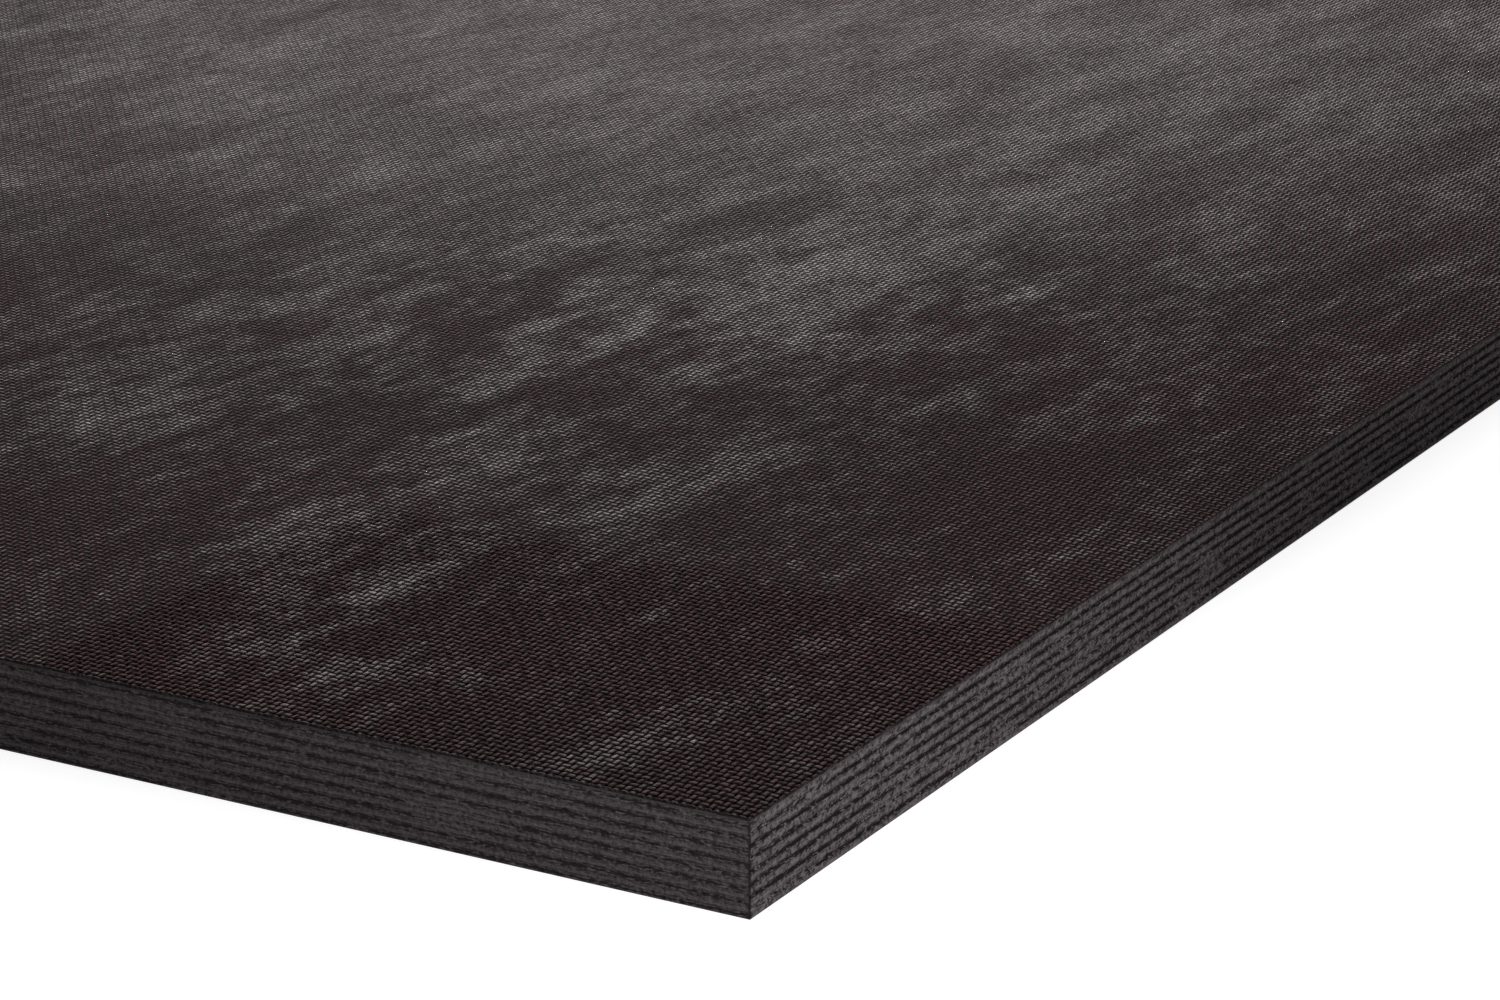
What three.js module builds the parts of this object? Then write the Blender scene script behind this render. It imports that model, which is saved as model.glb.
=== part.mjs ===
// Film-faced, anti-slip birch plywood sheet, lying flat with its face grain along X.
// Fifteen cross-laminated veneers are pressed between a wire-mesh film on top and a smooth film underneath.
// Units are millimetres, +Z is up, and the origin is the centre of the underside.
import * as THREE from "three";

// Sheet format
const sheetLength = 2500; // along X, the direction of the face grain
const sheetWidth = 1250; // along Y

// Lay-up, from the underside to the top
const smoothFilmThickness = 0.15; // phenolic film on the back
const veneerThickness = 1.325; // a pressed 1.5 mm birch veneer
const veneerCount = 15; // always odd, so that the face and back grain run the same way
const meshFilmThickness = 0.975; // phenolic film with the wire-mesh imprint, measured to the crowns of its knuckles

// Edges: where a veneer ends across its grain, the sealed edge stands a little further back
const endGrainSetback = 0.2;

// Finish
const filmFinish = { color: 0x2b2324, roughness: 0.42, metalness: 0 };
const sealedLongGrainFinish = { color: 0x575355, roughness: 0.62, metalness: 0 };
const sealedEndGrainFinish = { color: 0x3d3839, roughness: 0.75, metalness: 0 };

// A flat sheet of the given size and thickness, centred on the Z axis, whose underside lies at z = 0.
function flatSheet(length, width, thickness) {
  const outline = new THREE.Shape();
  outline.moveTo(-length / 2, -width / 2);
  outline.lineTo(length / 2, -width / 2);
  outline.lineTo(length / 2, width / 2);
  outline.lineTo(-length / 2, width / 2);
  outline.closePath();
  return new THREE.ExtrudeGeometry(outline, { depth: thickness, bevelEnabled: false });
}

function layer(name, geometry, finish, height) {
  const mesh = new THREE.Mesh(geometry, new THREE.MeshStandardMaterial(finish));
  mesh.name = name;
  mesh.position.z = height;
  return mesh;
}

// The outer veneers lie under the films' resin, so their ends stay flush with the films.
function isOuter(number) {
  return number === 1 || number === veneerCount;
}

// Odd veneers have their grain along X and even ones along Y.
function grainRunsAlongX(number) {
  return number % 2 === 1;
}

function veneerName(number) {
  const padded = String(number).padStart(2, "0");
  if (number === 1) return `veneer_${padded}_back`;
  if (number === veneerCount) return `veneer_${padded}_face`;
  return grainRunsAlongX(number) ? `veneer_${padded}_long_grain` : `veneer_${padded}_cross_grain`;
}

function veneer(number, height) {
  const setback = isOuter(number) ? 0 : endGrainSetback;
  const alongX = grainRunsAlongX(number);
  const length = sheetLength - (alongX ? 2 * setback : 0);
  const width = sheetWidth - (alongX ? 0 : 2 * setback);
  const finish = alongX ? sealedLongGrainFinish : sealedEndGrainFinish;
  return layer(veneerName(number), flatSheet(length, width, veneerThickness), finish, height);
}

const sheet = new THREE.Group();
sheet.name = "plywood_sheet";

sheet.add(layer("smooth_film", flatSheet(sheetLength, sheetWidth, smoothFilmThickness), filmFinish, 0));

for (let number = 1; number <= veneerCount; number++) {
  sheet.add(veneer(number, smoothFilmThickness + (number - 1) * veneerThickness));
}

const meshFilmHeight = smoothFilmThickness + veneerCount * veneerThickness;
sheet.add(layer("wire_mesh_film", flatSheet(sheetLength, sheetWidth, meshFilmThickness), filmFinish, meshFilmHeight));

export default sheet;
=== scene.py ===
import math

import bpy
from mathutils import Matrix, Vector


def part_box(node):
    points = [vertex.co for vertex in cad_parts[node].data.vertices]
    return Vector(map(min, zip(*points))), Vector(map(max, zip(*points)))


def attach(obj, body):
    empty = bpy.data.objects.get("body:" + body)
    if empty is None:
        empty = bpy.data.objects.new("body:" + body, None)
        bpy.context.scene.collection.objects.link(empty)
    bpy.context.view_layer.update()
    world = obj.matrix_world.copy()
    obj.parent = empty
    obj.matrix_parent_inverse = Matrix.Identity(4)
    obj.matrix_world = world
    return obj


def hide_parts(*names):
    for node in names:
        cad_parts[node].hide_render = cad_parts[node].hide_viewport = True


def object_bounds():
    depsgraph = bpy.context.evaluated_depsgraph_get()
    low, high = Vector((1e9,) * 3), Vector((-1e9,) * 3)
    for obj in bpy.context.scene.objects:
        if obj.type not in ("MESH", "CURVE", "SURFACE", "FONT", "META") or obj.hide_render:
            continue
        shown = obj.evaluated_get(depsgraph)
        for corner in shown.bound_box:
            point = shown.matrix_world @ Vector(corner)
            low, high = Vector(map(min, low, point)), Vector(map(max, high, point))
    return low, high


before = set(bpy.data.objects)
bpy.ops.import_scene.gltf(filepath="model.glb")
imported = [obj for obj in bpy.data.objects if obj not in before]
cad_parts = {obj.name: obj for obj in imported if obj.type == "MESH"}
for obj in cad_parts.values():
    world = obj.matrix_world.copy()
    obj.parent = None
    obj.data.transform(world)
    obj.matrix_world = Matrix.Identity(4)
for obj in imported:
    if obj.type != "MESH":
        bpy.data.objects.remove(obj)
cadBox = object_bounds()
sheetLow, sheetHigh = cadBox
mm = 0.001
print("frame loaded:", len(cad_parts), "nodes")

cameraSetup = {
    "lens": 105.2,           # mm, on a 36 mm sensor
    "heading": -60.19,       # degrees, 0 looks along +Y and 90 along -X
    "lookDown": 17.84,       # degrees under the horizon
    "cornerAhead": 0.8394,   # metres along the optical axis to the near lower corner
    "cornerDrop": 0.0804,    # metres from the optical axis down to that corner
}


def makeCamera(setup, corner):
    heading, down = math.radians(setup["heading"]), math.radians(setup["lookDown"])
    ahead = Vector((-math.sin(heading), math.cos(heading), 0)) * math.cos(down)
    ahead.z = -math.sin(down)
    aside = ahead.cross(Vector((0, 0, 1))).normalized()
    up = aside.cross(ahead)
    camera = bpy.data.objects.new("camera", bpy.data.cameras.new("camera"))
    bpy.context.scene.collection.objects.link(camera)
    camera.location = corner - ahead * setup["cornerAhead"] + up * setup["cornerDrop"]
    camera.rotation_euler = ahead.to_track_quat("-Z", "Y").to_euler()
    camera.data.sensor_width = 36
    camera.data.lens = setup["lens"]
    camera.data.clip_start = 0.01
    bpy.context.scene.camera = camera


makeCamera(cameraSetup, sheetLow)
print("camera set")


# short calls for building node trees
def addNode(tree, kind, inputs=None, **settings):
    node = tree.nodes.new(kind)
    for name, value in settings.items():
        setattr(node, name, value)
    for socket, value in (inputs or {}).items():
        feed(tree, value, node.inputs[socket])
    return node


def feed(tree, value, socket):
    if isinstance(value, bpy.types.NodeSocket):
        tree.links.new(value, socket)
    else:
        socket.default_value = value


def calc(tree, operation, *values):
    node = tree.nodes.new("ShaderNodeMath")
    node.operation = operation
    for value, socket in zip(values, node.inputs):
        feed(tree, value, socket)
    return node.outputs[0]


def smoothRange(tree, value, low, high, toLow=0.0, toHigh=1.0):
    node = addNode(tree, "ShaderNodeMapRange", {0: value, 1: low, 2: high, 3: toLow, 4: toHigh},
                   interpolation_type="SMOOTHSTEP")
    return node.outputs[0]


def mixColor(tree, share, first, second, blend="MIX"):
    node = addNode(tree, "ShaderNodeMix", data_type="RGBA", blend_type=blend)
    for name, value in (("Factor_Float", share), ("A_Color", first), ("B_Color", second)):
        feed(tree, value, next(s for s in node.inputs if s.identifier == name))
    return next(s for s in node.outputs if s.identifier == "Result_Color")


def noise(tree, vector, scale, detail=3.0, roughness=0.5, distortion=0.0):
    node = addNode(tree, "ShaderNodeTexNoise", {"Vector": vector, "Scale": scale, "Detail": detail,
                                                "Roughness": roughness, "Distortion": distortion})
    return node.outputs[0]


def stretched(tree, vector, scale, offset=(0, 0, 0)):
    node = addNode(tree, "ShaderNodeVectorMath", {0: vector, 1: scale, 2: offset}, operation="MULTIPLY_ADD")
    return node.outputs[0]


def splitXYZ(tree, vector):
    return addNode(tree, "ShaderNodeSeparateXYZ", {0: vector}).outputs


def distance(tree, x, y):
    return calc(tree, "SQRT", calc(tree, "MULTIPLY_ADD", x, x, calc(tree, "MULTIPLY", y, y)))


def newGroup(name, kind, inputs, outputs):
    tree = bpy.data.node_groups.new(name, kind)
    for label, socketKind, value in inputs:
        socket = tree.interface.new_socket(label, in_out="INPUT", socket_type=socketKind)
        if value is not None:
            socket.default_value = value
    for label, socketKind in outputs:
        tree.interface.new_socket(label, in_out="OUTPUT", socket_type=socketKind)
    return tree, tree.nodes.new("NodeGroupInput").outputs, tree.nodes.new("NodeGroupOutput").inputs


def useGroup(tree, group, inputs):
    node = tree.nodes.new("ShaderNodeGroup")
    node.node_tree = group
    for name, value in inputs.items():
        feed(tree, value, node.inputs[name])
    return node.outputs


def colour(red, green, blue):
    # a colour written as it looks on screen, 0 to 255
    def linear(level):
        level /= 255
        return level / 12.92 if level <= 0.04045 else ((level + 0.055) / 1.055) ** 2.4
    return (linear(red), linear(green), linear(blue), 1.0)


floatSocket, vectorSocket = "NodeSocketFloat", "NodeSocketVector"
geometrySocket, materialSocket = "NodeSocketGeometry", "NodeSocketMaterial"

# the film's wire-mesh imprint
wireMesh = {
    "pitchX": 2.154 * mm,        # between the wires that run along Y
    "pitchY": 1.880 * mm,        # between the wires that run along X
    "wireWidth": 0.26,           # half a wire's width, as a share of the pitch
    "floatTop": 2.2,             # how flat a wire's floats are, from 1 for a plain wave
    "relief": 0.45 * mm,         # from the pits to the crowns
    "samples": 4,                # steps in the mesh for each pitch
    "countX": 240,               # steps in all, from the near corner; whole multiples of 48
    "countY": 384,
    "bands": ((8, 6 * mm), (48, 40 * mm)),   # past them, how many steps join into one and how far out
    "fadeOut": 12 * mm,          # over which the modelled knuckles fade to a level film
    "fineShare": 0.7,            # how much of the relief the material repeats over the modelled knuckles
    "meanHeight": 0.5,           # the level film beyond them, as a share of the relief
    "waver": 0.60 * mm,          # how far the wires stray from straight lines
    "waverScale": 120.0,         # and how often, for each metre
}


def reach(mesh, axis):
    return mesh["count" + axis] * mesh["pitch" + axis] / mesh["samples"]


def weaveHeight(tree, x, y, pitchX, pitchY, halfWidth):
    # 0 in the pits between the wires and 1 on the crowns, in plain weave
    along, across = calc(tree, "DIVIDE", x, pitchX), calc(tree, "DIVIDE", y, pitchY)
    column, row = calc(tree, "ROUND", along), calc(tree, "ROUND", across)
    wires = []
    for position, ownIndex, otherPosition, sign in ((across, row, along, 1.0),
                                                    (along, column, across, -1.0)):
        offset = calc(tree, "DIVIDE", calc(tree, "SUBTRACT", position, ownIndex), halfWidth)
        square = calc(tree, "SUBTRACT", 1.0, calc(tree, "MULTIPLY", offset, offset))
        roundness = calc(tree, "SQRT", calc(tree, "MAXIMUM", 0.0, square))
        phase = calc(tree, "MULTIPLY", calc(tree, "ADD", otherPosition, ownIndex), math.pi)
        wave = calc(tree, "MULTIPLY", calc(tree, "COSINE", phase), wireMesh["floatTop"] * sign)
        crimp = calc(tree, "MAXIMUM", -1.0, calc(tree, "MINIMUM", 1.0, wave))
        wires.append(calc(tree, "MULTIPLY", calc(tree, "ADD", roundness, crimp), 0.5))
    return calc(tree, "MAXIMUM", 0.0, calc(tree, "MAXIMUM", *wires))


def modelledShare(tree, x, y, reachX, reachY, fade):
    # 1 where the knuckles are in the mesh, falling to 0 at the ends of that patch
    shareX = smoothRange(tree, x, calc(tree, "SUBTRACT", reachX, fade), reachX, 1.0, 0.0)
    shareY = smoothRange(tree, y, calc(tree, "SUBTRACT", reachY, fade), reachY, 1.0, 0.0)
    return calc(tree, "MULTIPLY", shareX, shareY)


def fromCorner(tree, position):
    # distances from the near corner along the two edges, and the height
    x, y, z = splitXYZ(tree, position)
    return calc(tree, "SUBTRACT", x, sheetLow.x), calc(tree, "SUBTRACT", y, sheetLow.y), z


def wavering(tree, position, x, y, waver, scale):
    # the wires' own coordinates, which stray a little from the sheet's
    level = stretched(tree, position, (1, 1, 0))
    moved = []
    for fromEdge, offset in ((x, (0, 0, 0)), (y, (4.7, 2.9, 0))):
        wavy = noise(tree, stretched(tree, level, (1, 1, 1), offset), scale, 2.0)
        moved.append(calc(tree, "MULTIPLY_ADD", calc(tree, "SUBTRACT", wavy, 0.5), waver, fromEdge))
    return moved


def scaledBy(tree, vector, x, y, z):
    scale = addNode(tree, "ShaderNodeCombineXYZ", {0: x, 1: y, 2: z}).outputs[0]
    return addNode(tree, "ShaderNodeVectorMath", {0: vector, 1: scale}, operation="MULTIPLY").outputs[0]


# shader groups that several materials share
def makeWeaveGroup():
    tree, ins, outs = newGroup(
        "weaveRelief", "ShaderNodeTree",
        [("Position", vectorSocket, None), ("Pitch X", floatSocket, wireMesh["pitchX"]),
         ("Pitch Y", floatSocket, wireMesh["pitchY"]), ("Wire Width", floatSocket, wireMesh["wireWidth"]),
         ("Fine Share", floatSocket, wireMesh["fineShare"])],
        [("Height", floatSocket), ("Painted Height", floatSocket), ("Modelled", floatSocket)])
    x, y, _ = fromCorner(tree, ins["Position"])
    wires = wavering(tree, ins["Position"], x, y, wireMesh["waver"], wireMesh["waverScale"])
    height = weaveHeight(tree, *wires, ins["Pitch X"], ins["Pitch Y"], ins["Wire Width"])
    inMesh = modelledShare(tree, x, y, reach(wireMesh, "X"), reach(wireMesh, "Y"), wireMesh["fadeOut"])
    less = calc(tree, "MULTIPLY", inMesh, calc(tree, "SUBTRACT", 1.0, ins["Fine Share"]))
    feed(tree, height, outs["Height"])
    feed(tree, inMesh, outs["Modelled"])
    feed(tree, calc(tree, "MULTIPLY", height, calc(tree, "SUBTRACT", 1.0, less)), outs["Painted Height"])
    return tree


pressHazeAndSheen = {
    # how often each layer repeats for each metre along X and along Y, its detail and its share
    "patches": ((4.0, 7.5), 3.0, 0.9),
    "streaks": ((13.0, 38.0), 5.0, 1.6),
    "wisps": ((90.0, 150.0), 5.0, 1.2),
    "slant": 0.25,           # how far the wisps are turned from the face grain, in radians
    "clear": -0.08,          # the film is bare under this level, and fully hazed at the next
    "full": 0.78,
    "fullShare": 0.8,
    "raggedScale": (30, 60, 1),      # how often the clouds' rims are torn, and how far
    "ragged": 3.0,
    # one broad haze, partly a painted sheen over the far part of the top: its middle and half sizes in mm,
    # and its share
    "spread": ((660, 350), (380, 330), 0.62),
    "spreadRagged": 0.2,
    "spreadStreaks": 2.4,    # how much the streaks and the wisps break it up
    "spreadWisps": 0.7,
    # how often the broad haze and painted sheen comes back over the rest of the sheet, its share, and from
    # how many metres out
    "farHazeAndSheen": ((1.7, 2.9), 0.48),
    "farFrom": (0.85, 1.25),
    # soft clouds of haze, some of them painted sheen, from the near corner: the middle along X and Y, the
    # half sizes, in mm, and what they add
    "clouds": (
        (400, 412, 18, 12, 0.24), (245, 207, 60, 14, 0.20), (330, 200, 60, 80, 0.16),
        (110, 176, 34, 13, 0.24), (180, 176, 30, 13, 0.22), (100, 141, 42, 11, 0.22),
        (172, 130, 14, 9, 0.22), (30, 125, 9, 15, 0.20), (34, 92, 24, 10, 0.20),
        (130, 28, 15, 12, 0.24), (150, 20, 70, 35, -0.10), (370, 85, 70, 50, 0.08),
        (230, 130, 150, 35, 0.07), (400, 50, 130, 50, -0.01), (200, 290, 120, 60, 0.22),
        (150, 175, 130, 60, 0.06), (400, 190, 120, 50, 0.26), (330, 290, 90, 60, 0.10),
    ),
}


def makeHazeAndSheenGroup(setup):
    # the pale haze that lies in wisps along the face grain of a pressed film; its broad haze and some of its
    # clouds are also a painted sheen, paler over the far part of the top
    tree, ins, outs = newGroup(
        "pressHazeAndSheen", "ShaderNodeTree",
        [("Position", vectorSocket, None), ("Lift", floatSocket, 0.0)],
        [("Haze And Sheen", floatSocket), ("Wisps", floatSocket)])
    place = ins["Position"]
    slanted = addNode(tree, "ShaderNodeVectorRotate", {"Vector": place, "Angle": setup["slant"]},
                      rotation_type="Z_AXIS").outputs[0]
    level, layers = ins["Lift"], {}
    for name, vector, offset in (("patches", place, (2.3, 7.1, 0)),
                                 ("streaks", place, (0.7, 3.9, 0)),
                                 ("wisps", slanted, (0.4, 0.9, 0))):
        (perX, perY), detail, share = setup[name]
        grain = stretched(tree, vector, (perX, perY, 1.0), offset)
        layers[name] = noise(tree, grain, 1.0, detail, 0.72, 0.2)
        level = calc(tree, "MULTIPLY_ADD", calc(tree, "SUBTRACT", layers[name], 0.5), share, level)
    x, y, _ = fromCorner(tree, place)
    torn = noise(tree, stretched(tree, place, setup["raggedScale"]), 1.0, 4.0, 0.65)
    ragged = calc(tree, "MULTIPLY_ADD", torn, setup["ragged"], -0.5 * setup["ragged"])

    def cloud(middleX, middleY, halfX, halfY, amount, raggedShare=1.0):
        outX = calc(tree, "MULTIPLY_ADD", x, 1 / (halfX * mm), -middleX / halfX)
        outY = calc(tree, "MULTIPLY_ADD", y, 1 / (halfY * mm), -middleY / halfY)
        out = calc(tree, "ADD", distance(tree, outX, outY), calc(tree, "MULTIPLY", ragged, raggedShare))
        return smoothRange(tree, out, 0.35, 1.35, amount, 0.0)

    for numbers in setup["clouds"]:
        level = calc(tree, "ADD", level, cloud(*numbers))
    local = smoothRange(tree, level, setup["clear"], setup["full"])
    local = calc(tree, "MULTIPLY", local, setup["fullShare"])

    middle, half, share = setup["spread"]
    byStreaks, byWisps = setup["spreadStreaks"], setup["spreadWisps"]
    streaky = calc(tree, "MULTIPLY_ADD", layers["streaks"], byStreaks, 1.0 - 0.5 * byStreaks)
    streaky = calc(tree, "SUBTRACT", streaky, 0.5 * byWisps)
    streaky = calc(tree, "MULTIPLY_ADD", layers["wisps"], byWisps, streaky)
    (perX, perY), farShare = setup["farHazeAndSheen"]
    again = noise(tree, stretched(tree, place, (perX, perY, 1.0), (5.2, 1.4, 0)), 1.0, 3.0, 0.6, 0.4)
    again = calc(tree, "MULTIPLY", smoothRange(tree, again, 0.4, 0.62, 0.0, farShare),
                 smoothRange(tree, distance(tree, x, y), *setup["farFrom"]))
    # the broad haze, partly a painted sheen over the far part of the top
    broadHazeAndSheen = calc(tree, "ADD", cloud(*middle, *half, share, setup["spreadRagged"]), again)
    broadHazeAndSheen = calc(tree, "MINIMUM", calc(tree, "MULTIPLY", broadHazeAndSheen, streaky), 1.0)
    bare = calc(tree, "MULTIPLY", calc(tree, "SUBTRACT", 1.0, broadHazeAndSheen), calc(tree, "SUBTRACT", 1.0, local))
    feed(tree, calc(tree, "SUBTRACT", 1.0, bare), outs["Haze And Sheen"])
    feed(tree, layers["wisps"], outs["Wisps"])
    return tree


tornFibres = {
    "length": 3.5 * mm,
    "width": 0.35 * mm,
    "grit": 0.9 * mm,
    "strokes": (420.0, 1900.0),      # how often the saw's strokes repeat for each metre, along and across
    "strokeSlant": (0.75, 0.66),     # cosine and sine of their slant
}


def makeFibreGroup(setup):
    # torn wood fibres under paint: streaks along an edge, slanting saw strokes, and a grit over both
    tree, ins, outs = newGroup(
        "paintedFibres", "ShaderNodeTree",
        [("Position", vectorSocket, None), ("Length", floatSocket, setup["length"]),
         ("Width", floatSocket, setup["width"]), ("Slant Share", floatSocket, 0.5),
         ("Grit", floatSocket, setup["grit"])],
        [("Streaks", floatSocket), ("Grit", floatSocket), ("Height", floatSocket)])
    x, y, height = splitXYZ(tree, ins["Position"])
    # either x or y stays the same along an edge, so their sum runs along all four
    along = calc(tree, "ADD", x, y)
    perLength = calc(tree, "DIVIDE", 1.0, ins["Length"])
    perWidth = calc(tree, "DIVIDE", 1.0, ins["Width"])
    flat = addNode(tree, "ShaderNodeCombineXYZ", {0: calc(tree, "MULTIPLY", along, perLength),
                                                  1: calc(tree, "MULTIPLY", height, perWidth)}).outputs[0]
    streaks = noise(tree, flat, 1.0, 4.0, 0.6, 0.3)
    (perStroke, acrossStroke), (cosine, sine) = setup["strokes"], setup["strokeSlant"]
    turnedAlong = calc(tree, "MULTIPLY_ADD", along, cosine, calc(tree, "MULTIPLY", height, sine))
    turnedUp = calc(tree, "MULTIPLY_ADD", along, -sine, calc(tree, "MULTIPLY", height, cosine))
    slanted = addNode(tree, "ShaderNodeCombineXYZ", {0: calc(tree, "MULTIPLY", turnedAlong, perStroke),
                                                     1: calc(tree, "MULTIPLY", turnedUp, acrossStroke),
                                                     2: 3.7}).outputs[0]
    slants = noise(tree, slanted, 1.0, 3.0, 0.6, 0.5)
    perGrit = calc(tree, "DIVIDE", 1.0, ins["Grit"])
    grit = noise(tree, scaledBy(tree, ins["Position"], perGrit, perGrit, perGrit), 1.0, 3.0, 0.7)
    mixed = addNode(tree, "ShaderNodeMix", {0: ins["Slant Share"], 2: streaks, 3: slants}).outputs[0]
    feed(tree, streaks, outs["Streaks"])
    feed(tree, grit, outs["Grit"])
    feed(tree, calc(tree, "MULTIPLY_ADD", mixed, 0.5, calc(tree, "MULTIPLY", grit, 0.5)), outs["Height"])
    return tree


weaveGroup, hazeAndSheenGroup, fibreGroup = makeWeaveGroup(), makeHazeAndSheenGroup(pressHazeAndSheen), makeFibreGroup(tornFibres)


def newMaterial(name):
    material = bpy.data.materials.new(name)
    material.use_nodes = True
    tree = material.node_tree
    tree.nodes.clear()
    shader = addNode(tree, "ShaderNodeBsdfPrincipled")
    addNode(tree, "ShaderNodeOutputMaterial", {"Surface": shader.outputs[0]})
    position = addNode(tree, "ShaderNodeTexCoord").outputs["Object"]
    return material, tree, shader, position


meshFilmFinish = {
    "resin": colour(66, 57, 58),
    "resinWarm": colour(78, 56, 58),
    "warmShare": (0.65, 1.0),        # the least and the most of the warm resin
    "warmFrom": (30 * mm, 130 * mm),     # halved nearer than this to the near corner, and whole past it
    # the weave is painted by its height, near black in the pits and pale on the crowns: painted shade in the
    # pits and painted highlight on the crowns
    "pit": colour(9, 7, 7),
    # pale haze over the crowns and the pits, partly a painted sheen
    "hazeAndSheenCrown": colour(169, 160, 160),
    "hazeAndSheenPit": colour(80, 75, 75),
    "flankFrom": (0.4, 0.6),         # the heights, of the weave's, between which a pit turns to a flank
    "crownFrom": (0.6, 0.9),         # and a flank to a crown
    "flankShare": 0.05,
    "crownShades": (0.6, 1.3),       # the dullest and the palest crowns, against the rest: random paleness, partly painted highlights
    "relief": 1.2 * mm,              # how deep the weave looks
    "nicks": 0.35 * mm,
    "arrisHighlight": colour(92, 86, 87),    # a painted highlight on the knuckles along the short edges
    "arrisHighlightWidth": 0.55 * mm,
    "flatShade": 0.8,                # how bright the finish is where only the shading shows the weave: painted shade for the knuckles' own shadows, which only the modelled patch casts
    "roughness": 0.88,
    "hazeRoughness": 0.1,
    "specular": 0.002,
}


def makeMeshFilmMaterial(finish):
    material, tree, shader, position = newMaterial("meshFilmResin")
    weave = useGroup(tree, weaveGroup, {"Position": position})
    hazeAndSheen = useGroup(tree, hazeAndSheenGroup, {"Position": position})
    x, y, _ = fromCorner(tree, position)
    warm = smoothRange(tree, noise(tree, position, 11.0, 3.0, 0.6), 0.35, 0.65, *finish["warmShare"])
    far = smoothRange(tree, distance(tree, x, y), *finish["warmFrom"], 0.5, 1.0)
    warm = calc(tree, "MULTIPLY", warm, far)
    crowns = mixColor(tree, warm, finish["resin"], finish["resinWarm"])
    # pale haze, partly a painted sheen, over the crowns
    crowns = mixColor(tree, hazeAndSheen["Haze And Sheen"], crowns, finish["hazeAndSheenCrown"])
    # the crowns vary at random in paleness, partly painted highlight, and get painted shade where the
    # knuckles are not modelled
    uneven = noise(tree, position, 380.0, 3.0, 0.65)
    paleShift = smoothRange(tree, uneven, 0.36, 0.62, *finish["crownShades"])
    unmodelledShade = smoothRange(tree, weave["Modelled"], 0.0, 1.0, finish["flatShade"], 1.0)
    paleShift = calc(tree, "MULTIPLY", paleShift, unmodelledShade)
    shades = addNode(tree, "ShaderNodeCombineXYZ", {0: paleShift, 1: paleShift, 2: paleShift}).outputs[0]
    crowns = mixColor(tree, 1.0, crowns, shades, "MULTIPLY")
    # near black in the pits and pale on the crowns: painted shade and painted highlight of the knuckles
    flanks = mixColor(tree, finish["flankShare"], finish["pit"], crowns)
    deepHazeAndSheen = calc(tree, "MULTIPLY", hazeAndSheen["Haze And Sheen"], hazeAndSheen["Haze And Sheen"])
    pits = mixColor(tree, deepHazeAndSheen, finish["pit"], finish["hazeAndSheenPit"])
    base = mixColor(tree, smoothRange(tree, weave["Height"], *finish["flankFrom"]), pits, flanks)
    base = mixColor(tree, smoothRange(tree, weave["Height"], *finish["crownFrom"]), base, crowns)
    # a painted highlight on the knuckles along the short edges
    out = calc(tree, "ABSOLUTE", splitXYZ(tree, position)[0])
    rim = smoothRange(tree, out, sheetHigh.x - finish["arrisHighlightWidth"], sheetHigh.x - 0.1 * mm)
    rim = calc(tree, "MULTIPLY", rim, smoothRange(tree, weave["Height"], 0.3, 0.7))
    base = mixColor(tree, rim, base, finish["arrisHighlight"])
    feed(tree, base, shader.inputs["Base Color"])
    rough = calc(tree, "MULTIPLY_ADD", hazeAndSheen["Haze And Sheen"], finish["hazeRoughness"], finish["roughness"])
    feed(tree, rough, shader.inputs["Roughness"])
    shader.inputs["Specular IOR Level"].default_value = finish["specular"]
    knuckles = addNode(tree, "ShaderNodeBump", {"Height": weave["Painted Height"],
                                                "Distance": finish["relief"], "Strength": 1.0})
    nicks = noise(tree, position, 900.0, 2.0, 0.7)
    skin = addNode(tree, "ShaderNodeBump", {"Height": nicks, "Distance": finish["nicks"], "Strength": 1.0,
                                            "Normal": knuckles.outputs[0]})
    feed(tree, skin.outputs[0], shader.inputs["Normal"])
    return material


filmCutFinish = {
    "resin": colour(30, 26, 27),
    "smear": colour(84, 78, 80),
    "flecks": 0.7,           # how much of it the paint's flecks hide
    "smearTop": 0.22 * mm,   # the edge paint is smeared up to this height over the glue line
    "smearFade": 0.15 * mm,
    "ragged": 1.2 * mm,      # how far its upper rim strays
    "fibreLength": 8 * mm,
    "relief": 0.2 * mm,
    "roughness": (0.75, 0.2),    # the least, and what the grit adds
    "specular": 0.01,
}


def makeFilmCutMaterial(finish):
    # the film's sawn edge, with the edge paint smeared along it
    material, tree, shader, position = newMaterial("filmCutEdge")
    fibres = useGroup(tree, fibreGroup, {"Position": position, "Length": finish["fibreLength"]})
    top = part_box("wire_mesh_film")[0].z + finish["smearTop"]
    stray = calc(tree, "SUBTRACT", fibres["Streaks"], 0.5)
    ragged = calc(tree, "MULTIPLY_ADD", stray, finish["ragged"], splitXYZ(tree, position)[2])
    low = smoothRange(tree, ragged, top - finish["smearFade"], top + finish["smearFade"], 1.0, 0.0)
    flecks = smoothRange(tree, fibres["Height"], 0.47, 0.62, 0.0, finish["flecks"])
    smear = calc(tree, "MAXIMUM", low, flecks)
    feed(tree, mixColor(tree, smear, finish["resin"], finish["smear"]), shader.inputs["Base Color"])
    leastRough, byGrit = finish["roughness"]
    feed(tree, calc(tree, "MULTIPLY_ADD", fibres["Grit"], byGrit, leastRough), shader.inputs["Roughness"])
    shader.inputs["Specular IOR Level"].default_value = finish["specular"]
    bump = addNode(tree, "ShaderNodeBump", {"Height": fibres["Height"], "Distance": finish["relief"],
                                            "Strength": 0.6})
    feed(tree, bump.outputs[0], shader.inputs["Normal"])
    return material


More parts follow.
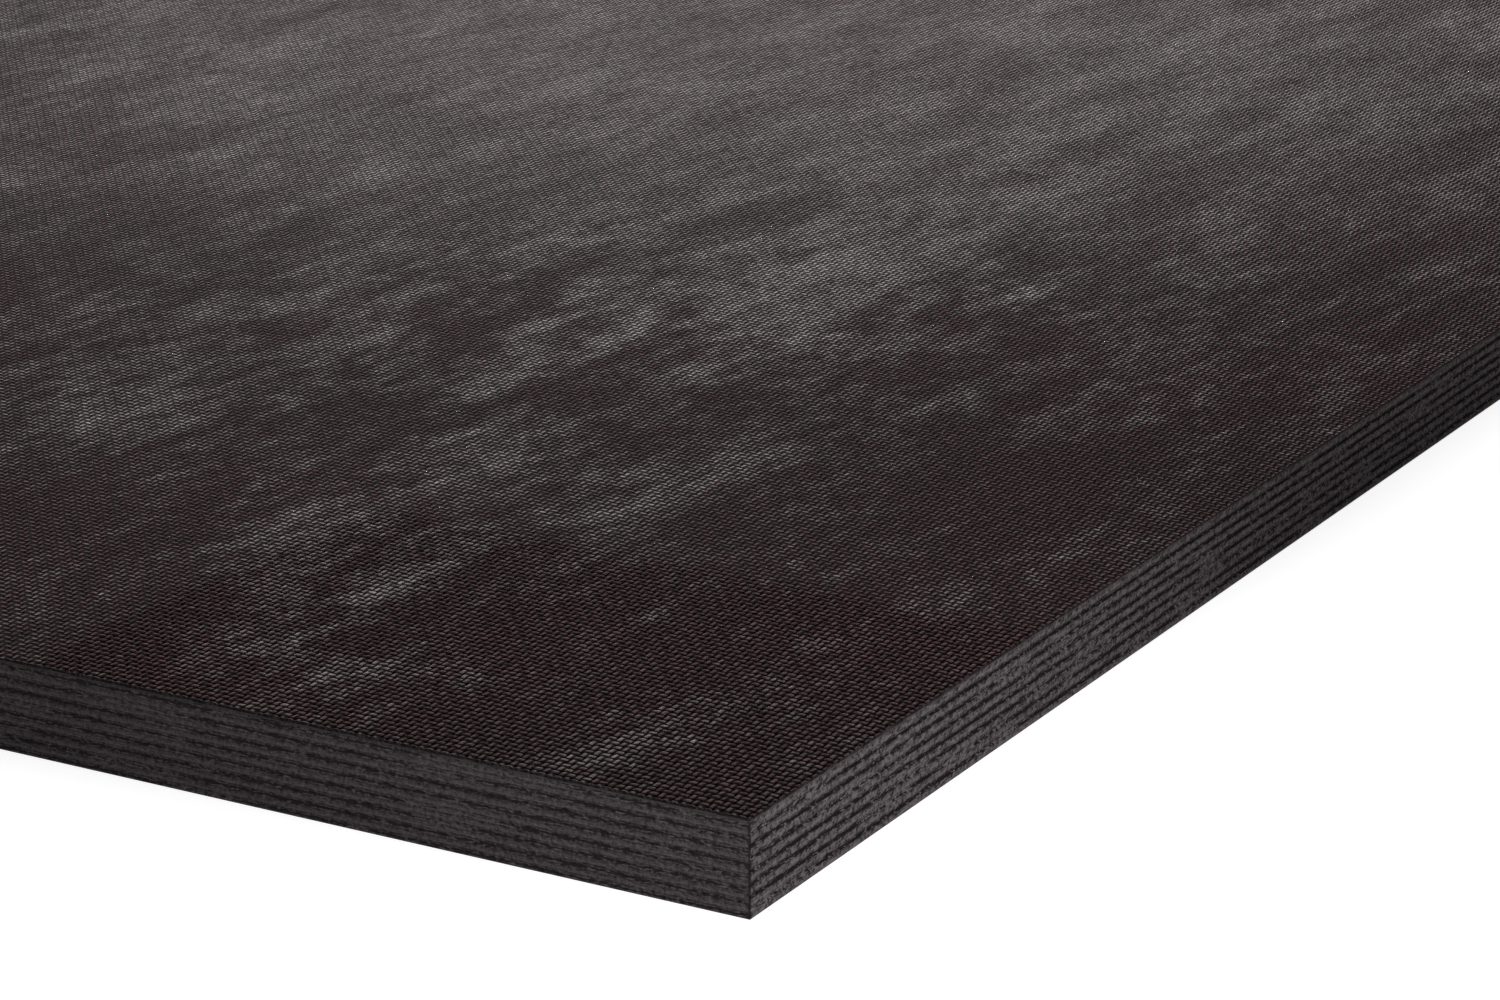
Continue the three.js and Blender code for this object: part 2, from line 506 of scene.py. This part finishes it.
smoothFilmFinish = {
    "resin": colour(52, 37, 34),
    "pale": colour(74, 60, 56),
    "paleShare": 0.6,
    "lift": -0.1,                # how much less haze and painted sheen it has than the top
    "relief": 0.04 * mm,
    "roughness": (0.2, 0.2),     # the least, and what the wisps add
    "specular": 0.3,
}


def makeSmoothFilmMaterial(finish):
    material, tree, shader, position = newMaterial("smoothFilmResin")
    hazeAndSheen = useGroup(tree, hazeAndSheenGroup, {"Position": position, "Lift": finish["lift"]})
    # paler where the haze and painted sheen lie
    pale = calc(tree, "MULTIPLY", hazeAndSheen["Haze And Sheen"], finish["paleShare"])
    feed(tree, mixColor(tree, pale, finish["resin"], finish["pale"]), shader.inputs["Base Color"])
    leastRough, byWisps = finish["roughness"]
    feed(tree, calc(tree, "MULTIPLY_ADD", hazeAndSheen["Wisps"], byWisps, leastRough), shader.inputs["Roughness"])
    shader.inputs["Specular IOR Level"].default_value = finish["specular"]
    bump = addNode(tree, "ShaderNodeBump", {"Height": hazeAndSheen["Wisps"], "Distance": finish["relief"],
                                            "Strength": 0.4})
    feed(tree, bump.outputs[0], shader.inputs["Normal"])
    return material


edgePaint = {
    # raised fibres painted pale, a painted highlight
    "ridgeHighlight": colour(120, 113, 115),
    "paint": colour(46, 40, 42),
    # the end grain in its hollow painted dark: soaked paint, and painted shade of the hollow
    "hollow": colour(33, 29, 31),
    # along X and along Y: the long edges get a stronger painted highlight and shade on their fibres than the
    # short ones, and a little more paleness
    "longEdge": {"contrast": 5.0, "slants": 0.45, "soakAndShade": 0.95, "paleShift": 0.04, "fibre": 2.4 * mm},
    "shortEdge": {"contrast": 2.3, "slants": 0.1, "soakAndShade": 0.8, "paleShift": 0.02, "fibre": 1.8 * mm},
    "ragged": 2.2,           # how far the fibres break up the rim of the soaked and shaded end grain
    "roughness": (0.75, 0.2),    # the least, and what the grit adds
    "specular": 0.01,
    "relief": 1.1 * mm,      # how deep the torn fibres look
    "rim": 0.35,             # how much paler a veneer's lower rim is than its upper one
    "arris": (0.8 * mm, 0.2 * mm),   # where the thicker paint on the upright corners begins and is whole
    "arrisShare": 0.85,
}


def makeEdgeMaterial(name, finish):
    material, tree, shader, position = newMaterial(name)
    recess, ends, level, short = [addNode(tree, "ShaderNodeAttribute", attribute_name=label).outputs["Fac"]
                                  for label in ("recess", "endGrain", "level", "shortEdge")]

    def byEdge(label):
        return addNode(tree, "ShaderNodeMix", {0: short, 2: finish["longEdge"][label],
                                               3: finish["shortEdge"][label]}).outputs[0]

    fibres = useGroup(tree, fibreGroup, {"Position": position, "Slant Share": byEdge("slants"),
                                         "Length": byEdge("fibre")})
    # raised fibres are painted paler and low ones darker: painted highlight and shade of the torn fibres,
    # stronger on the long edges
    tone = calc(tree, "MULTIPLY", calc(tree, "SUBTRACT", fibres["Height"], 0.5), byEdge("contrast"))
    rim = calc(tree, "MULTIPLY", calc(tree, "SUBTRACT", 0.5, level), finish["rim"])
    lift = smoothRange(tree, calc(tree, "ADD", calc(tree, "ADD", tone, byEdge("paleShift")), rim), -0.5, 0.5)
    base = mixColor(tree, lift, finish["paint"], finish["ridgeHighlight"])
    # the end grain is painted darker where it is drawn back: paint soaked into it, and painted shade of its
    # hollow
    gritty = calc(tree, "MULTIPLY_ADD", tone, -0.8, recess)
    torn = calc(tree, "MULTIPLY_ADD", fibres["Streaks"], -finish["ragged"], 0.5 * finish["ragged"])
    soakedAndShaded = smoothRange(tree, calc(tree, "ADD", gritty, torn), 0.3, 0.8)
    soakedAndShaded = calc(tree, "MULTIPLY", soakedAndShaded, calc(tree, "MULTIPLY", ends, byEdge("soakAndShade")))
    base = mixColor(tree, soakedAndShaded, base, finish["hollow"])
    x, y, _ = splitXYZ(tree, position)
    out = calc(tree, "ADD", calc(tree, "ABSOLUTE", x), calc(tree, "ABSOLUTE", y))
    corner = sheetHigh.x + sheetHigh.y
    begin, whole = finish["arris"]
    thick = smoothRange(tree, out, corner - begin, corner - whole)
    base = mixColor(tree, calc(tree, "MULTIPLY", thick, finish["arrisShare"]), base, finish["paint"])
    feed(tree, base, shader.inputs["Base Color"])
    leastRough, byGrit = finish["roughness"]
    feed(tree, calc(tree, "MULTIPLY_ADD", fibres["Grit"], byGrit, leastRough), shader.inputs["Roughness"])
    shader.inputs["Specular IOR Level"].default_value = finish["specular"]
    bump = addNode(tree, "ShaderNodeBump", {"Height": fibres["Height"], "Distance": finish["relief"],
                                            "Strength": 1.0})
    feed(tree, bump.outputs[0], shader.inputs["Normal"])
    return material


meshFilmMaterial = makeMeshFilmMaterial(meshFilmFinish)
filmCutMaterial = makeFilmCutMaterial(filmCutFinish)
smoothFilmMaterial = makeSmoothFilmMaterial(smoothFilmFinish)
edgeMaterials = {True: makeEdgeMaterial("sealedLongGrain", edgePaint),
                 False: makeEdgeMaterial("sealedCrossGrain", edgePaint)}
print("finishes made:", len(bpy.data.materials))


def meshObject(name, vertices, faces):
    mesh = bpy.data.meshes.new(name)
    mesh.from_pydata(vertices, [], faces)
    mesh.update()
    piece = bpy.data.objects.new(name, mesh)
    bpy.context.scene.collection.objects.link(piece)
    return piece


def addTree(piece, tree, values):
    modifier = piece.modifiers.new(tree.name, "NODES")
    modifier.node_group = tree
    sockets = {item.name: item.identifier for item in tree.interface.items_tree if item.in_out == "INPUT"}
    for name, value in values.items():
        modifier[sockets[name]] = value


def settle(piece, isSmooth):
    # the evaluated mesh takes the blank's place, and the modifiers go
    depsgraph = bpy.context.evaluated_depsgraph_get()
    made = bpy.data.meshes.new_from_object(piece.evaluated_get(depsgraph), depsgraph=depsgraph)
    piece.modifiers.clear()
    blank, piece.data = piece.data, made
    bpy.data.meshes.remove(blank)
    made.name = piece.name
    made.polygons.foreach_set("use_smooth", [isSmooth(p) for p in made.polygons])


def standIn(piece, node):
    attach(piece, "root")
    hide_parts(node)
    return piece


def makeWovenTree():
    # lowers a level film between the crowns, and fades to level at the patch's ends
    tree, ins, outs = newGroup(
        "pressedWeave", "GeometryNodeTree",
        [("Geometry", geometrySocket, None), ("Pitch X", floatSocket, 0.002),
         ("Pitch Y", floatSocket, 0.002), ("Wire Width", floatSocket, 0.4), ("Relief", floatSocket, 0.0003),
         ("Modelled X", floatSocket, 0.1), ("Modelled Y", floatSocket, 0.1), ("Fade Out", floatSocket, 0.01),
         ("Mean Height", floatSocket, 0.5), ("Crown Height", floatSocket, 0.02), ("Waver", floatSocket, 0.0),
         ("Face Material", materialSocket, None), ("Cut Material", materialSocket, None)],
        [("Geometry", geometrySocket)])
    position = addNode(tree, "GeometryNodeInputPosition").outputs[0]
    x, y, z = fromCorner(tree, position)
    wires = wavering(tree, position, x, y, ins["Waver"], wireMesh["waverScale"])
    height = weaveHeight(tree, *wires, ins["Pitch X"], ins["Pitch Y"], ins["Wire Width"])
    share = modelledShare(tree, x, y, ins["Modelled X"], ins["Modelled Y"], ins["Fade Out"])
    difference = calc(tree, "SUBTRACT", height, ins["Mean Height"])
    level = calc(tree, "MULTIPLY_ADD", difference, share, ins["Mean Height"])
    drop = calc(tree, "MULTIPLY", calc(tree, "SUBTRACT", level, 1.0), ins["Relief"])
    onTop = calc(tree, "GREATER_THAN", z, calc(tree, "SUBTRACT", ins["Crown Height"], 0.1 * mm))
    offset = addNode(tree, "ShaderNodeCombineXYZ", {2: drop}).outputs[0]
    moved = addNode(tree, "GeometryNodeSetPosition", {"Geometry": ins["Geometry"], "Selection": onTop,
                                                      "Offset": offset}).outputs[0]
    realized = addNode(tree, "GeometryNodeRealizeInstances", {"Geometry": moved}).outputs[0]
    dressed = addNode(tree, "GeometryNodeSetMaterial", {"Geometry": realized,
                                                        "Material": ins["Face Material"]}).outputs[0]
    facingUp = splitXYZ(tree, addNode(tree, "GeometryNodeInputNormal").outputs[0])[2]
    upright = calc(tree, "LESS_THAN", calc(tree, "ABSOLUTE", facingUp), 0.01)
    cut = addNode(tree, "GeometryNodeSetMaterial", {"Geometry": dressed, "Selection": upright,
                                                    "Material": ins["Cut Material"]}).outputs[0]
    feed(tree, cut, outs["Geometry"])
    return tree


def filmBlank(name, low, high, mesh):
    # an even grid over the modelled patch, then bands of wider polygons, all level
    countX, countY = mesh["countX"], mesh["countY"]
    reachX, reachY = reach(mesh, "X"), reach(mesh, "Y")
    vertices, faces, places = [], [], {}

    def point(x, y, z=high.z):
        key = (round(x, 7), round(y, 7), round(z, 7))
        if key not in places:
            places[key] = len(vertices)
            vertices.append((low.x + x, low.y + y, z))
        return places[key]

    def marks(count, span):
        return [span * k / count for k in range(count + 1)]

    def bands(count, span, end):
        # each band: its distance out, and the marks of its inner and outer sides
        rows = [(1, 0.0)] + list(mesh["bands"]) + [(mesh["bands"][-1][0], end)]
        for (joinedIn, outIn), (joinedOut, outOut) in zip(rows, rows[1:]):
            inner = marks(count // joinedIn, span)
            outer = marks(count // joinedOut, span)
            share = joinedOut // joinedIn
            for k in range(len(outer) - 1):
                yield inner[k * share:(k + 1) * share + 1], outer[k:k + 2], outIn, outOut

    fineX, fineY = marks(countX, reachX), marks(countY, reachY)
    for y0, y1 in zip(fineY, fineY[1:]):
        faces += [(point(x0, y0), point(x1, y0), point(x1, y1), point(x0, y1))
                  for x0, x1 in zip(fineX, fineX[1:])]
    length, width = high.x - low.x, high.y - low.y
    for inner, outer, outIn, outOut in bands(countY, reachY, length - reachX):
        faces.append([point(reachX + outOut, y) for y in outer]
                     + [point(reachX + outIn, y) for y in reversed(inner)])
    for inner, outer, outIn, outOut in bands(countX, reachX, width - reachY):
        faces.append([point(x, reachY + outIn) for x in inner]
                     + [point(x, reachY + outOut) for x in reversed(outer)])
    outs = [0.0] + [out for _, out in mesh["bands"]]
    farX, farY = [reachX + out for out in outs] + [length], [reachY + out for out in outs] + [width]
    faces.append([point(x, reachY) for x in farX] + [point(length, width)]
                 + [point(reachX, y) for y in reversed(farY[1:])])

    # the cut edges: the rim above, and a rim of fewer points below
    def pairs(distances):
        return [list(pair) for pair in zip(distances, distances[1:])]

    joined, joinedFar = mesh["bands"][0][0], mesh["bands"][-1][0]
    front = [fineX[k:k + joined + 1] for k in range(0, countX, joined)] + pairs(farX)
    left = [fineY[k:k + joined + 1] for k in range(0, countY, joined)] + pairs(farY)
    right = pairs(marks(countY // joinedFar, reachY) + [width])
    back = pairs(marks(countX // joinedFar, reachX) + [length])
    below = []
    for runs, place, forward in ((front, lambda d: (d, 0.0), True), (right, lambda d: (length, d), True),
                                 (back, lambda d: (d, width), False), (left, lambda d: (0.0, d), False)):
        for run in runs if forward else [list(reversed(r)) for r in reversed(runs)]:
            start, end = place(run[0]), place(run[-1])
            foot = [point(*start, low.z), point(*end, low.z)]
            faces.append(foot + [point(*place(d)) for d in reversed(run)])
            below.append(foot[0])
    faces.append(list(reversed(below)))
    return meshObject(name, vertices, faces)


def makeMeshFilm():
    low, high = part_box("wire_mesh_film")
    piece = filmBlank("meshFilmPressed", low, high, wireMesh)
    addTree(piece, makeWovenTree(), {
        "Pitch X": wireMesh["pitchX"], "Pitch Y": wireMesh["pitchY"], "Wire Width": wireMesh["wireWidth"],
        "Relief": wireMesh["relief"], "Modelled X": reach(wireMesh, "X"), "Modelled Y": reach(wireMesh, "Y"),
        "Fade Out": wireMesh["fadeOut"], "Mean Height": wireMesh["meanHeight"], "Crown Height": high.z,
        "Waver": wireMesh["waver"],
        "Face Material": meshFilmMaterial, "Cut Material": filmCutMaterial})
    # only the knuckles are rounded; the wide polygons stay flat
    step = wireMesh["pitchX"] / wireMesh["samples"]
    settle(piece, lambda polygon: polygon.normal.z > 0.1 and polygon.area < 4 * step * step)
    return standIn(piece, "wire_mesh_film")


film = makeMeshFilm()
print("mesh film:", sum(len(p.vertices) - 2 for p in film.data.polygons), "triangles")


# the veneers' sawn ends
sawnEdge = {
    "firstStep": 0.45 * mm,      # along an edge, at the near corner
    "growth": 0.006,             # a step is longer by this share of its distance from there
    "longestStep": 5 * mm,
    "anchorStep": 50 * mm,       # where the strips across the hidden faces begin
    "capInset": 8 * mm,
    "heights": (0.0, 0.14, 0.30, 0.5, 0.70, 0.86, 1.0),   # rows, as shares of a veneer's thickness
    # for veneers with their grain along X, and along Y: how deep the end grain draws back, and its hollow's
    # middle and half width, as shares of the thickness
    "hollow": {True: 0.14 * mm, False: 0.34 * mm},
    "middle": {True: 0.35, False: 0.22},
    "girth": {True: 0.22, False: 0.32},
    "shoulder": 0.42,            # how gently a hollow rises again
    "outerHollow": 0.25,         # the face and back veneers draw back by only this share of it
    "tear": 0.10 * mm,           # the saw's unevenness
    "wander": 0.45,              # how far a hollow wanders between its glue lines
    "seed": 11.0,
}


def makeSawnTree():
    # draws the end grain back in a hollow between the glue lines, and roughens the rest
    tree, ins, outs = newGroup(
        "sawnVeneerEdge", "GeometryNodeTree",
        [("Geometry", geometrySocket, None), ("Half Length", floatSocket, 1.0),
         ("Half Width", floatSocket, 0.5), ("Underside", floatSocket, 0.0),
         ("Thickness", floatSocket, 0.001), ("Along X", floatSocket, 1.0),
         ("Hollow", floatSocket, 0.0002), ("Tear", floatSocket, 0.0001),
         ("Middle", floatSocket, 0.4), ("Wander", floatSocket, 0.3), ("Girth", floatSocket, 0.3),
         ("Shoulder", floatSocket, 0.4), ("Seed", floatSocket, 0.0), ("Material", materialSocket, None)],
        [("Geometry", geometrySocket)])
    position = addNode(tree, "GeometryNodeInputPosition").outputs[0]
    x, y, z = splitXYZ(tree, position)
    seeded = addNode(tree, "ShaderNodeCombineXYZ", dict.fromkeys((0, 1, 2), ins["Seed"])).outputs[0]
    place = addNode(tree, "ShaderNodeVectorMath", {0: position, 1: seeded}, operation="ADD").outputs[0]
    within = calc(tree, "DIVIDE", calc(tree, "SUBTRACT", z, ins["Underside"]), ins["Thickness"])
    # the hollow's middle and width both wander along the edge
    swing = calc(tree, "SUBTRACT", noise(tree, stretched(tree, place, (130, 130, 0)), 1.0, 3.0, 0.6), 0.5)
    girth = noise(tree, stretched(tree, place, (230, 230, 0), (3.1, 5.7, 0)), 1.0, 3.0, 0.6)
    middle = calc(tree, "MULTIPLY_ADD", swing, ins["Wander"], ins["Middle"])
    away = calc(tree, "ABSOLUTE", calc(tree, "SUBTRACT", within, middle))
    narrow = calc(tree, "MULTIPLY_ADD", girth, 0.8, calc(tree, "SUBTRACT", ins["Girth"], 0.55))
    bowl = smoothRange(tree, away, narrow, calc(tree, "ADD", narrow, ins["Shoulder"]), 1.0, 0.0)
    coarse = noise(tree, stretched(tree, place, (24, 24, 0), (1.3, 0.2, 0)), 1.0, 3.0, 0.6)
    drawn = calc(tree, "MULTIPLY", bowl, smoothRange(tree, coarse, 0.34, 0.5, 0.3, 1.0))
    fine = noise(tree, place, 620.0, 2.0, 0.6)
    # a veneer keeps its full size at its glue lines
    glued = smoothRange(tree, calc(tree, "MINIMUM", within, calc(tree, "SUBTRACT", 1.0, within)), 0.0, 0.12)
    endDepth = calc(tree, "MULTIPLY_ADD", fine, ins["Tear"], calc(tree, "MULTIPLY", drawn, ins["Hollow"]))
    sideDepth = calc(tree, "MULTIPLY", fine, ins["Tear"])
    depths, endFaces, rims = [], [], []
    for along, half, ends in ((x, ins["Half Length"], ins["Along X"]),
                              (y, ins["Half Width"], calc(tree, "SUBTRACT", 1.0, ins["Along X"]))):
        rim = calc(tree, "GREATER_THAN", calc(tree, "ABSOLUTE", along), calc(tree, "SUBTRACT", half, 1e-5))
        depth = calc(tree, "MULTIPLY_ADD", calc(tree, "SUBTRACT", endDepth, sideDepth), ends, sideDepth)
        depth = calc(tree, "MULTIPLY", calc(tree, "MULTIPLY", depth, glued), rim)
        depths.append(calc(tree, "MULTIPLY", depth, calc(tree, "MULTIPLY", calc(tree, "SIGN", along), -1.0)))
        endFaces.append(calc(tree, "MULTIPLY", rim, ends))
        rims.append(rim)
    endFace = calc(tree, "MAXIMUM", *endFaces)
    marked = ins["Geometry"]
    for name, value in (("recess", calc(tree, "MULTIPLY", drawn, endFace)), ("endGrain", endFace),
                        ("level", within), ("shortEdge", rims[0])):
        marked = addNode(tree, "GeometryNodeStoreNamedAttribute",
                         {"Geometry": marked, "Name": name, "Value": value},
                         data_type="FLOAT", domain="POINT").outputs[0]
    offset = addNode(tree, "ShaderNodeCombineXYZ", {0: depths[0], 1: depths[1]}).outputs[0]
    moved = addNode(tree, "GeometryNodeSetPosition", {"Geometry": marked, "Offset": offset}).outputs[0]
    realized = addNode(tree, "GeometryNodeRealizeInstances", {"Geometry": moved}).outputs[0]
    dressed = addNode(tree, "GeometryNodeSetMaterial", {"Geometry": realized, "Material": ins["Material"]})
    feed(tree, dressed.outputs[0], outs["Geometry"])
    return tree


def anchoredSteps(length, edge, fromNearCorner):
    # distances along one edge: even steps between anchors, short at the near corner and growing from there
    anchors = round(length / edge["anchorStep"])
    span = length / anchors
    marks = []
    for index in range(anchors):
        step = min(edge["firstStep"] + edge["growth"] * index * span, edge["longestStep"])
        count = math.ceil(span / (step if fromNearCorner else edge["longestStep"]))
        marks.append([index * span + k * span / count for k in range(count)])
    return marks


def reversedRuns(runs, length):
    # the same distances, measured from the other end
    marks = [length - mark for run in reversed(runs) for mark in reversed(run)]
    ends = [length - run[0] for run in reversed(runs)]
    starts = [0.0] + ends[:-1]
    return [[start] + [mark for mark in marks if start + 1e-6 < mark < end - 1e-6]
            for start, end in zip(starts, ends)]


def edgeRing(low, high, edge):
    # the outline's points in runs from anchor to anchor, counter-clockwise from the near corner
    length, width = high.x - low.x, high.y - low.y
    front = [[(low.x + d, low.y) for d in run] for run in anchoredSteps(length, edge, True)]
    right = [[(high.x, low.y + d) for d in run] for run in anchoredSteps(width, edge, False)]
    back = [[(high.x - d, high.y) for d in run] for run in anchoredSteps(length, edge, False)]
    leftRuns = reversedRuns(anchoredSteps(width, edge, True), width)
    left = [[(low.x, high.y - d) for d in run] for run in leftRuns]
    return [front, right, back, left]


def capFaces(sides, base, innerStart, upward):
    # a level face: short polygons from the rim to an inner outline, and strips across between its anchors
    faces, inner, index, runs = [], [], base, [run for side in sides for run in side]
    count = sum(len(run) for run in runs)
    for number, run in enumerate(runs):
        inner.append(innerStart + number)
        outer = [index + k for k in range(len(run) + 1)]
        outer[-1] = base + (outer[-1] - base) % count
        faces.append((*outer, innerStart + (number + 1) % len(runs), innerStart + number))
        index += len(run)
    nx, ny = len(sides[0]), len(sides[1])
    front, right = inner[:nx + 1], inner[nx:nx + ny + 1]
    back, left = inner[nx + ny:2 * nx + ny + 1], inner[2 * nx + ny:] + inner[:1]
    faces += [(front[k], front[k + 1], back[nx - k - 1], back[nx - k]) for k in range(1, nx - 1)]
    faces.append((front[0], front[1], back[nx - 1], *left[:-1]))
    faces.append((front[nx - 1], *right, back[1]))
    return faces if upward else [tuple(reversed(face)) for face in faces]


def veneerBlank(name, sides, low, high, edge):
    ring = [point for side in sides for run in side for point in run]
    starts = [run[0] for side in sides for run in side]
    inset = edge["capInset"]

    def drawnIn(value, limit):
        return value - math.copysign(inset, value) if abs(value) > limit - inset else value

    shrink = [(drawnIn(x, sheetHigh.x), drawnIn(y, sheetHigh.y)) for x, y in starts]
    levels = [low.z + share * (high.z - low.z) for share in edge["heights"]]
    count = len(ring)
    vertices = [(x, y, level) for level in levels for x, y in ring]
    faces = []
    for base in range(0, (len(levels) - 1) * count, count):
        for k in range(count):
            following = base + (k + 1) % count
            faces.append((base + k, following, following + count, base + k + count))
    for level, base, upward in ((low.z, 0, False), (high.z, (len(levels) - 1) * count, True)):
        faces += capFaces(sides, base, len(vertices), upward)
        vertices += [(x, y, level) for x, y in shrink]
    return meshObject(name, vertices, faces)


def makeVeneers():
    tree = makeSawnTree()
    names = sorted(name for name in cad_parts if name.startswith("veneer_"))
    sides = edgeRing(sheetLow, sheetHigh, sawnEdge)
    made = []
    for number, node in enumerate(names, start=1):
        low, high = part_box(node)
        alongX = number % 2 == 1
        piece = veneerBlank(f"veneer{number:02d}Sawn", sides, low, high, sawnEdge)
        share = sawnEdge["outerHollow"] if number in (1, len(names)) else 1.0
        addTree(piece, tree, {
            "Half Length": sheetHigh.x, "Half Width": sheetHigh.y, "Underside": low.z,
            "Thickness": high.z - low.z, "Along X": 1.0 if alongX else 0.0,
            "Hollow": sawnEdge["hollow"][alongX] * share, "Tear": sawnEdge["tear"],
            "Middle": sawnEdge["middle"][alongX], "Wander": sawnEdge["wander"],
            "Girth": sawnEdge["girth"][alongX], "Shoulder": sawnEdge["shoulder"],
            "Seed": sawnEdge["seed"] + number, "Material": edgeMaterials[alongX]})
        settle(piece, lambda polygon: abs(polygon.normal.z) < 0.9)
        made.append(standIn(piece, node))
    return made


veneers = makeVeneers()
print("veneers:", len(veneers), "with", sum(len(v.data.polygons) for v in veneers), "faces")


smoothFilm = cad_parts["smooth_film"]
smoothFilm.data.materials.clear()
smoothFilm.data.materials.append(smoothFilmMaterial)
print("smooth film finished")


# the floor, the world and the lamps
stageSetup = {
    "floorSize": 60.0,
    "floorShade": 0.62,        # how pale the floor is to the light
    "shadowShare": 0.2,       # how much of the floor's brightness the shadow may take
    "worldLight": 0.15,
    # a lamp's place is given from the near corner, in metres, and so is its target
    "lamps": {
        "keyLamp": {"place": (-0.44, -0.90, 0.40), "target": (-0.02, -0.14, 0.0), "power": 34.0,
                    "radius": 0.05, "cone": 22.0, "blend": 1.0},
        "topLamp": {"place": (1.2, 0.6, 3.4), "target": (1.2, 0.6, 0.0), "power": 38.0, "size": 3.6},
        "rearLamp": {"place": (3.7, 2.7, 1.3), "target": (0.6, 0.4, 0.0), "power": 500.0, "size": 1.6},
    },
}


def seenDirectly(tree):
    # 1 for the camera and for what gloss and glass show, 0 for the light itself
    seen = addNode(tree, "ShaderNodeLightPath").outputs
    return calc(tree, "MAXIMUM", seen["Is Camera Ray"],
                calc(tree, "MAXIMUM", seen["Is Glossy Ray"], seen["Is Transmission Ray"]))


def makeFloor(setup):
    half = setup["floorSize"] / 2
    level = sheetLow.z - 0.1 * mm
    corners = [(x, y, level) for x, y in ((-half, -half), (half, -half), (half, half), (-half, half))]
    floor = meshObject("floor", corners, [(0, 1, 2, 3)])
    material = bpy.data.materials.new("paleFloor")
    material.use_nodes = True
    tree = material.node_tree
    tree.nodes.clear()
    shade = setup["floorShade"]
    diffuse = addNode(tree, "ShaderNodeBsdfDiffuse", {"Color": (shade, shade, shade, 1.0)})
    strength = calc(tree, "MULTIPLY", seenDirectly(tree), 1.0 - setup["shadowShare"])
    glow = addNode(tree, "ShaderNodeEmission", {"Strength": strength})
    both = addNode(tree, "ShaderNodeAddShader", {0: diffuse.outputs[0], 1: glow.outputs[0]})
    clear = addNode(tree, "ShaderNodeBsdfTransparent")
    below = addNode(tree, "ShaderNodeNewGeometry").outputs["Backfacing"]
    mixed = addNode(tree, "ShaderNodeMixShader", {0: below, 1: both.outputs[0], 2: clear.outputs[0]})
    addNode(tree, "ShaderNodeOutputMaterial", {"Surface": mixed.outputs[0]})
    floor.data.materials.append(material)


def makeWorld(setup):
    world = bpy.data.worlds.new("studio")
    bpy.context.scene.world = world
    world.use_nodes = True
    tree = world.node_tree
    tree.nodes.clear()
    strength = calc(tree, "MULTIPLY_ADD", seenDirectly(tree), 1.0 - setup["worldLight"], setup["worldLight"])
    background = addNode(tree, "ShaderNodeBackground", {"Color": (1.0, 1.0, 1.0, 1.0), "Strength": strength})
    addNode(tree, "ShaderNodeOutputWorld", {"Surface": background.outputs[0]})


def makeLamp(name, setup):
    kind = "SPOT" if "cone" in setup else "AREA"
    lamp = bpy.data.objects.new(name, bpy.data.lights.new(name, kind))
    bpy.context.scene.collection.objects.link(lamp)
    place, target = Vector(setup["place"]), Vector(setup["target"])
    lamp.location = sheetLow + place
    lamp.rotation_euler = (target - place).to_track_quat("-Z", "Y").to_euler()
    lamp.data.energy = setup["power"]
    if kind == "SPOT":
        lamp.data.spot_size = math.radians(setup["cone"])
        lamp.data.spot_blend = setup["blend"]
        lamp.data.shadow_soft_size = setup["radius"]
    else:
        lamp.data.size = setup["size"]
    lamp.visible_camera = False


makeFloor(stageSetup)
makeWorld(stageSetup)
for lampName, lampSetup in stageSetup["lamps"].items():
    makeLamp(lampName, lampSetup)
bpy.context.scene.view_settings.view_transform = "Standard"
print("stage set")
